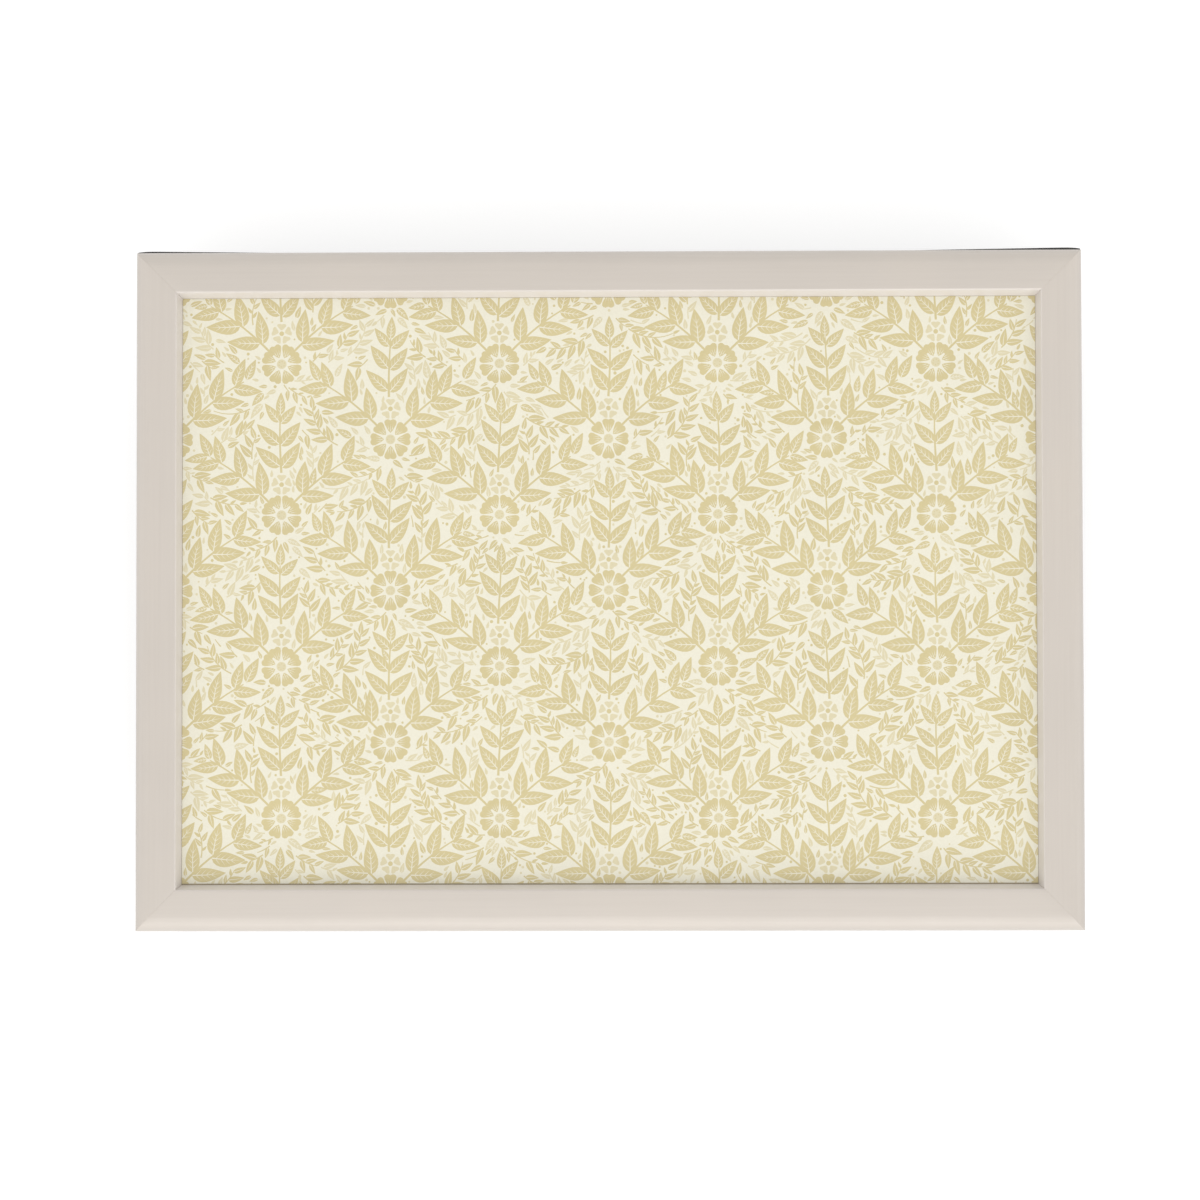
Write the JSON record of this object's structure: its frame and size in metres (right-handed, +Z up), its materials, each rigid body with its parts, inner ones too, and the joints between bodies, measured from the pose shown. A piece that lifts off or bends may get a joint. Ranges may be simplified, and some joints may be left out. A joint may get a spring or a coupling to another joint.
{
  "type": "lap tray with cushion",
  "caption": "Rectangular lap tray with a mitred painted wood frame round a flat printed panel, resting on a bead-filled cushion that peels off underneath.",
  "frame": {"origin": "middle of the cushion's flat underside, below the tray's centre", "axes": "+X along the tray's long side, +Y from the front rail to the back rail, +Z up"},
  "size_m": [0.44, 0.316, 0.073],
  "materials": {
    "painted_wood": "satin paint, warm pale taupe",
    "steel": "plain bright steel",
    "fibreboard": "raw sawn edge",
    "printed_melamine": "satin, straw leaves on cream",
    "backing_paper": "plain, matt",
    "hook_tape": "moulded hooks",
    "loop_tape": "brushed loops",
    "cover_fabric": "plain woven cotton",
    "bead_fill": "loose expanded beads"
  },
  "bodies": {
    "cushion": {"cover_top": "cover_fabric", "cover_bottom": "cover_fabric", "bead_fill": "bead_fill", "loop_strip_front": "loop_tape", "loop_strip_back": "loop_tape", "loop_strip_left": "loop_tape", "loop_strip_right": "loop_tape"},
    "tray": {"front_rail": "painted_wood", "back_rail": "painted_wood", "left_rail": "painted_wood", "right_rail": "painted_wood", "corner_v_nails": "steel", "panel_points": "steel", "strip_staples": "steel", "panel_board": "fibreboard", "decor_laminate": "printed_melamine", "backing_sheet": "backing_paper", "hook_strip_front": "hook_tape", "hook_strip_back": "hook_tape", "hook_strip_left": "hook_tape", "hook_strip_right": "hook_tape"}
  },
  "joints": [
    {"name": "tray_lift", "type": "slide", "parent": "cushion", "child": "tray", "axis": [0, 0, 1], "range_m": [0, 0.12]}
  ]
}
